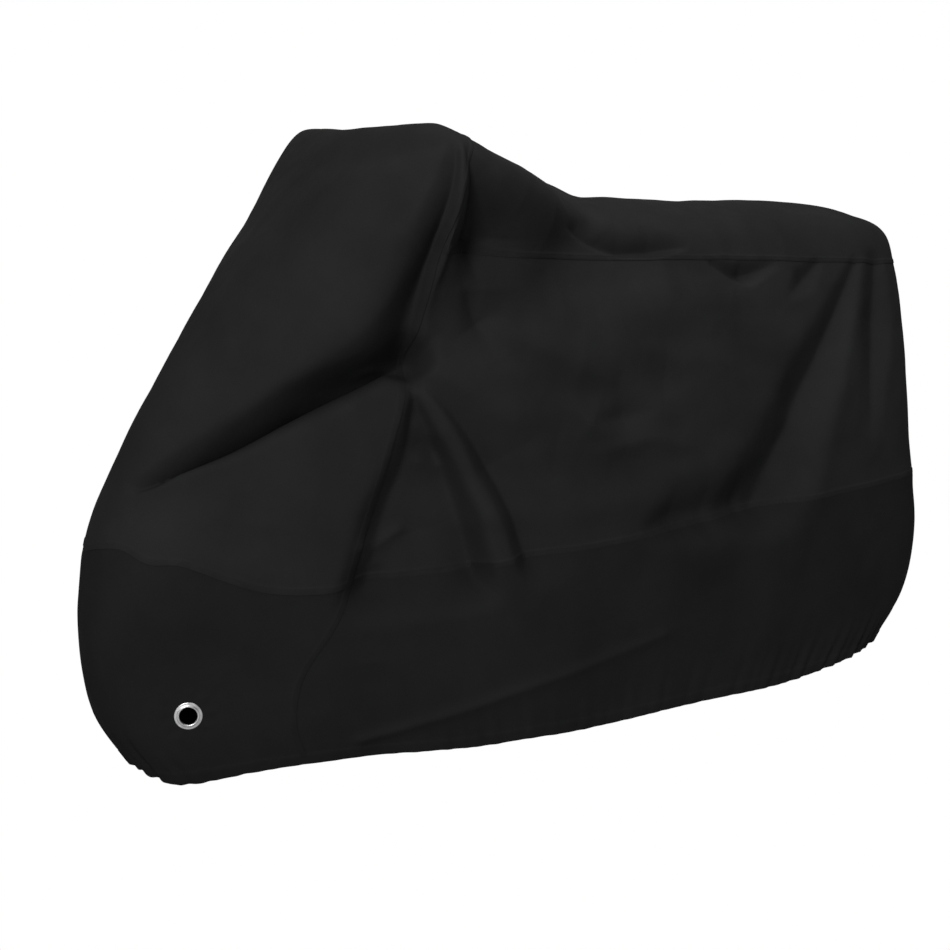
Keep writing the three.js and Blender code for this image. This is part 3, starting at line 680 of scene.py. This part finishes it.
def eyelet_place(side):
    """The middle of a side's eyelet on the smooth shape, and its direction."""
    shares, shares_up = np.meshgrid(EYELET_SHARES, EYELET_LEVELS, indexing="ij")
    levels = shares_up.ravel() * SKIRT_SEAM
    sides = np.full(levels.shape, float(side))
    ways = shares.ravel() * upright_way(levels)
    points = plain_points(ways, levels, sides).reshape(3, 3, 3)
    direction = unit(np.cross(points[2, 1] - points[0, 1], points[1, 2] - points[1, 0])) * -side
    return points[1, 1], direction


EYELETS = {"eyelet_left": eyelet_place(LEFT), "eyelet_right": eyelet_place(RIGHT)}


def flatten_at_eyelets(points):
    """The cloth is flat where a pressed eyelet holds it."""
    for middle, direction in EYELETS.values():
        away = points - middle
        out = away @ direction
        flat = away - out[:, None] * direction
        radius = np.linalg.norm(flat, axis=1)
        near = (np.abs(out) < FLAT_END_R) & (radius < FLAT_END_R)
        held = ease(FLAT_END_R, FLAT_R, radius) * near
        turn = np.arctan2(flat[:, 2], flat[:, 0])
        # Four times held times not held is 1 halfway between flat cloth and loose cloth
        pulled = np.sin(PUCKERS * turn) * held * (1 - held) * 4 * PUCKER_HEIGHT * near
        points = points + (pulled - out * held)[:, None] * direction
    return points


def in_cloth_hole(points):
    """Which places lie inside a hole that is cut for an eyelet."""
    inside = np.zeros(len(points), bool)
    for middle, direction in EYELETS.values():
        away = points - middle
        out = away @ direction
        radius = np.linalg.norm(away - out[:, None] * direction, axis=1)
        inside |= (radius < CLOTH_HOLE_R) & (np.abs(out) < FLAT_END_R)
    return inside


def edge_lines(start, end, per_mm, first, last, count):
    """Grid lines from start to end with the rows of both edges added, and how far each is
    lifted."""
    low = [(start + per_mm * away, lift) for away, lift in first]
    high = [(end - per_mm * away, lift) for away, lift in reversed(last)]
    inner = [(value, 0) for value in np.linspace(low[-1][0], high[0][0], count + 1)[1:-1]]
    return np.array(low + inner + high).T


def panel_lattice(columns, rows):
    """Every pair of a column and a row, with the higher of their lifts."""
    column, row = np.meshgrid(columns[0], rows[0], indexing="ij")
    lift = np.maximum(*np.meshgrid(columns[1], rows[1], indexing="ij"))
    return column.ravel(), row.ravel(), lift.ravel(), column.shape


def new_mesh(name, points, faces):
    """A mesh in metres and in the part's frame, from points in the shape's own frame."""
    mesh = bpy.data.meshes.new(name)
    mesh.from_pydata((points + ORIGIN) * MM, [], faces)
    return mesh


def link_mesh(name, mesh, uv, wear=None):
    """An object from a mesh, with places on the flat cloth and wear for its material."""
    layer = mesh.uv_layers.new(name="cloth")
    corner_index = np.zeros(len(mesh.loops), int)
    mesh.loops.foreach_get("vertex_index", corner_index)
    layer.data.foreach_set("uv", (uv[corner_index] * MM).astype(np.float32).ravel())
    if wear is not None:
        attribute = mesh.attributes.new("wear", "FLOAT", "POINT")
        attribute.data.foreach_set("value", wear.astype(np.float32))
    mesh.shade_smooth()
    mesh.set_sharp_from_angle(angle=SHARP_ANGLE)
    mesh.update()
    obj = bpy.data.objects.new(name, mesh)
    bpy.context.scene.collection.objects.link(obj)
    return obj


def sheet_mesh(name, points, index, cloth_uv, wear):
    """A closed thin sheet: its outer face, an inner face one thickness below, and a rim."""
    a, b, c, d = (index[:-1, :-1], index[1:, :-1], index[1:, 1:], index[:-1, 1:])
    quads = np.stack([a, b, c, d], axis=-1).reshape(-1, 4)
    if name == EYELET_PANEL:
        quads = quads[~in_cloth_hole(points[quads].mean(axis=1))]
    used, local = np.unique(quads, return_inverse=True)
    quads = local.reshape(-1, 4)
    points, uv, wear = points[used], cloth_uv[used], wear[used]
    corners = points[quads]
    faces_out = np.cross(corners[:, 2] - corners[:, 0], corners[:, 3] - corners[:, 1])
    normals = np.zeros(points.shape)
    for k in range(4):
        np.add.at(normals, quads[:, k], faces_out)
    normals = unit(normals)
    # Edges that have a face on one side only make the rim
    edges = np.concatenate([quads[:, [k, (k + 1) % 4]] for k in range(4)])
    edges = edges[edges[:, 0] != edges[:, 1]]
    keys = {(int(p), int(q)) for p, q in edges}
    rim = np.array([pair for pair in sorted(keys) if (pair[1], pair[0]) not in keys])
    count = len(points)
    # Where a quad's corners are one shared point, it is left as a triangle or left out
    faces = [list(dict.fromkeys(map(int, quad))) for quad in quads]
    faces += [[count + i for i in reversed(face)] for face in faces]
    faces += [[int(q), int(p), int(p) + count, int(q) + count] for p, q in rim]
    places = np.concatenate([points, points - normals * CLOTH])
    mesh = new_mesh(name, places, [face for face in faces if len(face) > 2])
    return link_mesh(name, mesh, np.concatenate([uv, uv]), np.concatenate([wear, wear]))


def cloth_uvs(points, shape):
    """Places on the flat cloth in millimetres, from the lengths along the grid's rows and
    columns."""
    grid = points.reshape(*shape, 3)
    across = np.zeros(shape)
    across[1:] = np.cumsum(np.linalg.norm(np.diff(grid, axis=0), axis=2), axis=0)
    up = np.zeros(shape)
    up[:, 1:] = np.cumsum(np.linalg.norm(np.diff(grid, axis=1), axis=2), axis=1)
    across -= across[len(across) // 2]
    return np.column_stack([across.ravel(), up.ravel()])


def make_panel(name, columns, rows, place, join=None):
    """One panel of cloth. place turns its columns and rows into ways round the side, levels and
    sides. join says where the panel meets itself and shares its points."""
    column, row, lift, shape = panel_lattice(columns, rows)
    way, level, side = place(column, row)
    points, normals = cloth_points(way, level, side)
    points = points + normals * lift[:, None]
    if name == EYELET_PANEL:
        points = flatten_at_eyelets(points)
    index = np.arange(len(points)).reshape(shape)
    if join == "last row":
        half = shape[0] // 2
        index[-half:, -1] = index[:half, -1][::-1]
    if join == "last column":
        half = shape[1] // 2
        index[-1, -half:] = index[-1, :half][::-1]
    # The right side's columns run against the others', so they are turned for faces that point out
    if name == "right_cloth":
        index = index[::-1]
    wear = np.clip(lift / BAND_LIFT, 0, 1)
    return sheet_mesh(name, points, index, cloth_uvs(points, shape), wear)


def side_of(signed):
    return np.where(signed <= 0, LEFT, RIGHT).astype(float)


def front_place(share, level):
    """From the left upright seam (-1) round the nose (0) to the right one (1)."""
    return np.abs(share) * upright_way(level), level, side_of(share)


def back_place(share, level):
    """From the left upright seam (-1) round the back (0) to the right one (1)."""
    return 1 - np.abs(share) * (1 - upright_way(level)), level, side_of(share)


def side_place(side):
    def place(share, level):
        return mix(upright_way(level), 1, share), level, np.full(share.shape, float(side))
    return place


def top_place(share, signed):
    """Rows run from the left top seam (-1) over the ridge (0) to the right one (1)."""
    level = 1 - np.abs(signed) * (1 - TOP_SEAM)
    return mix(upright_way(level), 1, share), level, side_of(signed)


def make_cloth():
    front_columns = edge_lines(-1, 1, SHARE_PER_MM, OVER, OVER, FRONT_STEPS)
    back_columns = edge_lines(-1, 1, REAR_SHARE_PER_MM, UNDER, UNDER, SKIRT_STEPS)[:, ::-1]
    left_columns = edge_lines(0, 1, REAR_SHARE_PER_MM, UNDER, OVER, BODY_STEPS)
    right_columns = edge_lines(0, 1, REAR_SHARE_PER_MM, UNDER, UNDER, BODY_STEPS)
    top_columns = edge_lines(0, 1, REAR_SHARE_PER_MM, UNDER, PLAIN, TOP_STEPS)
    front_rows = edge_lines(SKIRT_SEAM, 1, LEVEL_PER_MM, OVER, PLAIN, FRONT_ROWS)
    body_rows = edge_lines(SKIRT_SEAM, TOP_SEAM, LEVEL_PER_MM, OVER, UNDER, BODY_ROWS)
    skirt_rows = edge_lines(0, SKIRT_SEAM, LEVEL_PER_MM, HEM, UNDER, SKIRT_ROWS)
    top_rows = edge_lines(-1, 1, TOP_SHARE_PER_MM, OVER, OVER, TOP_ROWS)
    return {
        "front_panel": make_panel("front_cloth", front_columns, front_rows, front_place,
                                  "last row"),
        "left_panel": make_panel("left_cloth", left_columns, body_rows, side_place(LEFT)),
        "right_panel": make_panel("right_cloth", right_columns, body_rows, side_place(RIGHT)),
        "top_panel": make_panel("top_cloth", top_columns, top_rows, top_place, "last column"),
        "skirt_front": make_panel(EYELET_PANEL, front_columns, skirt_rows, front_place),
        "skirt_back": make_panel("skirt_back_cloth", back_columns, skirt_rows, back_place),
    }


def ring_section():
    """A pressed eyelet in section, as radius and height over the cloth: a rolled lip at the hole,
    a flange that slopes away from it, a groove that holds the cloth, and a flat washer behind."""
    turns = np.linspace(0, ROLL_TURN, ROLL_STEPS)
    lip = [(HOLE_R + ROLL - ROLL * math.cos(turn), ROLL_MIDDLE + ROLL * math.sin(turn))
           for turn in turns]
    return np.array(lip + FLANGE_SECTION + GROOVE_SECTION + WASHER_SECTION)


def make_ring(name, middle, direction):
    section = ring_section()
    side = unit(np.cross(direction, [0, 0, 1]))
    up = np.cross(side, direction)
    turns = np.linspace(0, 2 * math.pi, RING_STEPS, endpoint=False)
    spokes = np.cos(turns)[:, None] * side + np.sin(turns)[:, None] * up
    points = spokes[:, None] * section[:, :1] + section[:, 1:] * direction + middle
    count = len(section)
    around, along = np.meshgrid(np.arange(RING_STEPS) * count, np.arange(count), indexing="ij")
    next_around = (around + count) % (RING_STEPS * count)
    next_along = (along + 1) % count
    faces = np.stack([around + along, next_around + along, next_around + next_along,
                      around + next_along], axis=-1).reshape(-1, 4)
    mesh = new_mesh(name, points.reshape(-1, 3), faces[:, ::-1].tolist())
    uv = np.column_stack([np.repeat(turns * FLANGE_R, count),
                          np.tile(lengths_along(section), RING_STEPS)])
    return link_mesh(name, mesh, uv)


def stitch_row(seam, away, lift):
    """Evenly spaced stitches along a seam, at a distance from its edge."""
    shares = np.linspace(0, 1, SEAM_STEPS)
    lengths = lengths_along(cloth_points(*seam(shares, away))[0])

    def points_at(length):
        return cloth_points(*seam(np.interp(length, lengths, shares), away))

    middles = np.arange(STITCH_PITCH, lengths[-1] - STITCH_PITCH, STITCH_PITCH)
    first = points_at(middles - STITCH_LENGTH / 2)[0]
    last, normals = points_at(middles + STITCH_LENGTH / 2)
    across = unit(np.cross(normals, last - first)) * STITCH_WIDTH / 2
    first, last = first + normals * lift, last + normals * lift
    rings = []
    for share in STITCH_RINGS:
        middle = mix(first, last, share)
        rings += [middle + across, middle + normals * STITCH_HEIGHT, middle - across]
    return np.stack([first, *rings, last], axis=1)


def stitches(name, rows):
    corners = np.concatenate(rows)
    count = corners.shape[1]
    faces = [[first * count + corner for corner in face]
             for first in range(len(corners)) for face in STITCH_FACES]
    mesh = new_mesh(name, corners.reshape(-1, 3), faces)
    lengths = np.tile(np.arange(count), len(corners))
    return link_mesh(name, mesh, np.column_stack([lengths, lengths]).astype(float))


def seam_places(side):
    """The seams of one side, each as the places of its stitches at a distance from its edge."""
    def places(way, level):
        return way + 0 * level, level + 0 * way, np.full(np.shape(way + level), float(side))

    def skirt_seam(share, away):
        return places(share, SKIRT_SEAM + away * LEVEL_PER_MM)

    def top_seam(share, away):
        level = TOP_SEAM + away * LEVEL_PER_MM
        return places(mix(upright_way(level), 1, share), level)

    def upright(share, away, low=SKIRT_SEAM, high=1):
        level = mix(low, high, share)
        return places((1 - away * SHARE_PER_MM) * upright_way(level), level)

    def skirt_join(share, away):
        return upright(share, away, 0, SKIRT_SEAM)

    def hem(share, away):
        return places(share, away * LEVEL_PER_MM)

    def back_seam(share, away):
        return places(1 - away * WAY_PER_MM, mix(SKIRT_SEAM, TOP_SEAM, share))

    return skirt_seam, top_seam, upright, skirt_join, hem, back_seam


def make_sewing():
    body, skirt = [], []
    for side in (LEFT, RIGHT):
        *body_seams, skirt_join, hem, back_seam = seam_places(side)
        skirt.append(stitch_row(hem, HEM_ROW, HEM_LIFT))
        for away in SEAM_ROWS:
            body += [stitch_row(seam, away, BAND_LIFT) for seam in body_seams]
            skirt.append(stitch_row(skirt_join, away, BAND_LIFT))
            if side == LEFT:
                body.append(stitch_row(back_seam, away, BAND_LIFT))
    return {
        "body_cloth": stitches("body_stitches", body),
        "skirt_cloth": stitches("skirt_stitches", skirt),
    }


def new_material(name, colour, roughness, metallic=0.0, specular=0.5):
    material = bpy.data.materials.new(name)
    material.use_nodes = True
    shader = material.node_tree.nodes["Principled BSDF"]
    shader.inputs["Base Color"].default_value = (*colour, 1)
    shader.inputs["Roughness"].default_value = roughness
    shader.inputs["Metallic"].default_value = metallic
    shader.inputs["Specular IOR Level"].default_value = specular
    return material, material.node_tree, shader


def add_node(tree, kind, settings=None, **values):
    """A node with its settings, and its inputs set by name, or linked where the value is another
    node's output."""
    node = tree.nodes.new(kind)
    for name, value in (settings or {}).items():
        setattr(node, name, value)
    for name, value in values.items():
        plain = name.replace("_", " ").strip()
        socket = node.inputs[int(plain)] if plain.isdigit() else node.inputs[plain]
        if isinstance(value, bpy.types.NodeSocket):
            tree.links.new(value, socket)
        else:
            socket.default_value = value
    return node


def add_math(tree, operation, first, second=0.0):
    node = add_node(tree, "ShaderNodeMath", {"operation": operation}, _0=first, _1=second)
    return node.outputs["Value"]


def add_noise(tree, place, size, detail=2.0, roughness=0.5):
    """Noise from 0 to 1 that changes over a size in metres."""
    node = add_node(tree, "ShaderNodeTexNoise", Vector=place, Scale=1 / size, Detail=detail,
                    Roughness=roughness)
    return node.outputs["Fac"]


def add_range(tree, value, ends):
    """The middle of a noise's values, stretched to run between two ends."""
    low, high = NOISE_RANGE
    node = add_node(tree, "ShaderNodeMapRange", Value=value, From_Min=low, From_Max=high,
                    To_Min=ends[0], To_Max=ends[1])
    return node.outputs["Result"]


def link_grey(tree, shader, tone):
    """A shader's colour from one value."""
    node = add_node(tree, "ShaderNodeCombineColor", Red=tone, Green=tone, Blue=tone)
    tree.links.new(node.outputs["Color"], shader.inputs["Base Color"])


def add_bump(tree, height, bump, normal=None):
    """A bump by its depth and strength, over another bump where one is given."""
    distance, strength = bump
    node = add_node(tree, "ShaderNodeBump", Height=height, Distance=distance, Strength=strength)
    if normal is not None:
        tree.links.new(normal, node.inputs["Normal"])
    return node.outputs["Normal"]


def cloth_material(name, colour, roughness, thread, crinkle):
    """Woven cloth: threads over and under, creases and crinkles, patches of tone, and wear along
    its seams."""
    material, tree, shader = new_material(name, colour, roughness, specular=CLOTH_SPECULAR)
    flat = add_node(tree, "ShaderNodeUVMap", {"uv_map": "cloth"}).outputs["UV"]
    place = add_node(tree, "ShaderNodeTexCoord").outputs["Object"]
    axes = add_node(tree, "ShaderNodeSeparateXYZ", Vector=flat).outputs
    turns = [add_math(tree, "MULTIPLY", axes[axis], math.pi / thread) for axis in "XY"]
    weave = add_math(tree, "MULTIPLY", *[add_math(tree, "SINE", turn) for turn in turns])
    creases = add_noise(tree, place, crinkle, *CREASES)
    fine = add_noise(tree, place, crinkle / FINE_TIMES_SMALLER, *FINE)
    normal = add_bump(tree, weave, WEAVE_BUMP)
    normal = add_bump(tree, fine, FINE_BUMP, normal)
    normal = add_bump(tree, creases, CREASE_BUMP, normal)
    tree.links.new(normal, shader.inputs["Normal"])
    patches = add_noise(tree, place, *PATCHES)
    specks = add_noise(tree, flat, *SPECKS)
    worn = add_node(tree, "ShaderNodeAttribute", {"attribute_name": "wear"}).outputs["Fac"]
    rubs = add_range(tree, add_noise(tree, place, *RUBS), RUB_TONES)
    rubbed = add_math(tree, "MULTIPLY", worn, rubs)
    tone = add_math(tree, "ADD", add_range(tree, patches, PATCH_TONES), rubbed)
    tone = add_math(tree, "MULTIPLY", tone, add_range(tree, specks, SPECK_TONES))
    base = add_node(tree, "ShaderNodeVectorMath", {"operation": "SCALE"}, Scale=tone)
    base.inputs[0].default_value = colour
    tree.links.new(base.outputs["Vector"], shader.inputs["Base Color"])
    spread = (roughness - ROUGHNESS_SPREAD, roughness + ROUGHNESS_SPREAD)
    smoothed = add_math(tree, "MULTIPLY", worn, WORN_ROUGHNESS)
    dull = add_math(tree, "ADD", add_range(tree, creases, spread), smoothed)
    tree.links.new(dull, shader.inputs["Roughness"])
    return material


def thread_material():
    """Twisted thread, here and there a little paler."""
    material, tree, shader = new_material("thread", THREAD_COLOUR, THREAD_ROUGHNESS,
                                          specular=THREAD_SPECULAR)
    place = add_node(tree, "ShaderNodeTexCoord").outputs["Object"]
    twist = add_noise(tree, place, *TWIST)
    tree.links.new(add_bump(tree, twist, TWIST_BUMP), shader.inputs["Normal"])
    patches = add_noise(tree, place, *THREAD_PATCHES)
    link_grey(tree, shader, add_range(tree, patches, THREAD_TONES))
    return material


def steel_material():
    """Steel brushed round the ring, a little duller where it is handled."""
    material, tree, shader = new_material("eyelet_steel", STEEL_COLOUR, STEEL_ROUGHNESS, metallic=1)
    flat = add_node(tree, "ShaderNodeUVMap", {"uv_map": "cloth"}).outputs["UV"]
    place = add_node(tree, "ShaderNodeTexCoord").outputs["Object"]
    drawn = add_node(tree, "ShaderNodeMapping", Vector=flat, Scale=BRUSHED_STRETCH)
    brushed = add_noise(tree, drawn.outputs["Vector"], *BRUSHED)
    smudges = add_noise(tree, place, *SMUDGES)
    tree.links.new(add_bump(tree, brushed, BRUSHED_BUMP), shader.inputs["Normal"])
    dull = add_math(tree, "ADD", add_range(tree, brushed, BRUSHED_ROUGHNESS),
                    add_range(tree, smudges, SMUDGE_ROUGHNESS))
    tree.links.new(dull, shader.inputs["Roughness"])
    link_grey(tree, shader, add_range(tree, smudges, STEEL_TONES))
    return material


def make_materials():
    finishes = {name: cloth_material(name, **finish) for name, finish in CLOTH_FINISHES.items()}
    return {**finishes, "eyelet_steel": steel_material(), "thread": thread_material()}


def aim(obj, place, look):
    """Sets an object at a place, turned to look along a direction, and links it."""
    obj.location = place
    obj.rotation_mode = "QUATERNION"
    obj.rotation_quaternion = look.to_track_quat("-Z", "Y")
    bpy.context.scene.collection.objects.link(obj)


def make_camera():
    camera = bpy.data.objects.new("camera", bpy.data.cameras.new("camera"))
    camera.data.sensor_width = SENSOR
    camera.data.lens = LENS
    azimuth, down = math.radians(CAMERA_AZIMUTH), math.radians(CAMERA_DOWN)
    look = Vector((-math.sin(azimuth) * math.cos(down), math.cos(azimuth) * math.cos(down),
                   -math.sin(down)))
    aim(camera, EYE, look)
    bpy.context.scene.camera = camera


def area_light(name, place, target, size, power):
    light = bpy.data.lights.new(name, "AREA")
    light.shape = "SQUARE"
    light.size = size
    light.energy = power
    aim(bpy.data.objects.new(name, light), place, Vector(target) - Vector(place))


def make_floor():
    """A pale floor that lights the cover from below. The camera sees plain white in its place."""
    mesh = bpy.data.meshes.new("floor")
    far = FLOOR_REACH
    mesh.from_pydata([(-far, -far, 0), (far, -far, 0), (far, far, 0), (-far, far, 0)], [],
                     [(0, 1, 2, 3)])
    mesh.materials.append(new_material("floor", FLOOR_COLOUR, FLOOR_ROUGHNESS)[0])
    floor = bpy.data.objects.new("floor", mesh)
    floor.location.z = FLOOR_Z
    floor.visible_camera = False
    bpy.context.scene.collection.objects.link(floor)


def make_world():
    """Soft light from all round, and plain white where the camera sees it."""
    world = bpy.data.worlds.new("studio")
    world.use_nodes = True
    tree = world.node_tree
    soft = tree.nodes["Background"]
    soft.inputs["Color"].default_value = WHITE
    soft.inputs["Strength"].default_value = SKY_LIGHT
    white = add_node(tree, "ShaderNodeBackground", Color=WHITE)
    seen = add_node(tree, "ShaderNodeLightPath").outputs["Is Camera Ray"]
    either = add_node(tree, "ShaderNodeMixShader", Fac=seen, _1=soft.outputs["Background"],
                      _2=white.outputs["Background"])
    tree.links.new(either.outputs["Shader"], tree.nodes["World Output"].inputs["Surface"])
    bpy.context.scene.world = world


def make_studio():
    make_floor()
    make_world()
    for name, light in LIGHTS.items():
        area_light(name, *light)
    bpy.context.scene.view_settings.view_transform = "Standard"


def dress(piece, material, slot, *nodes):
    """A piece rides on the part's body, takes its finish, and stands for the nodes it replaces."""
    piece.data.materials.append(material)
    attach(piece, "root")
    if nodes:
        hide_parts(*nodes)


make_camera()
materials = make_materials()
for node, piece in make_cloth().items():
    slot = "skirt_cloth" if node.startswith("skirt") else "body_cloth"
    dress(piece, materials[slot], slot, node)
for slot, piece in make_sewing().items():
    dress(piece, materials["thread"], slot)
for node, (middle, direction) in EYELETS.items():
    ring = make_ring(node + "_ring", middle, direction)
    dress(ring, materials["eyelet_steel"], "eyelet_steel", node)
make_studio()
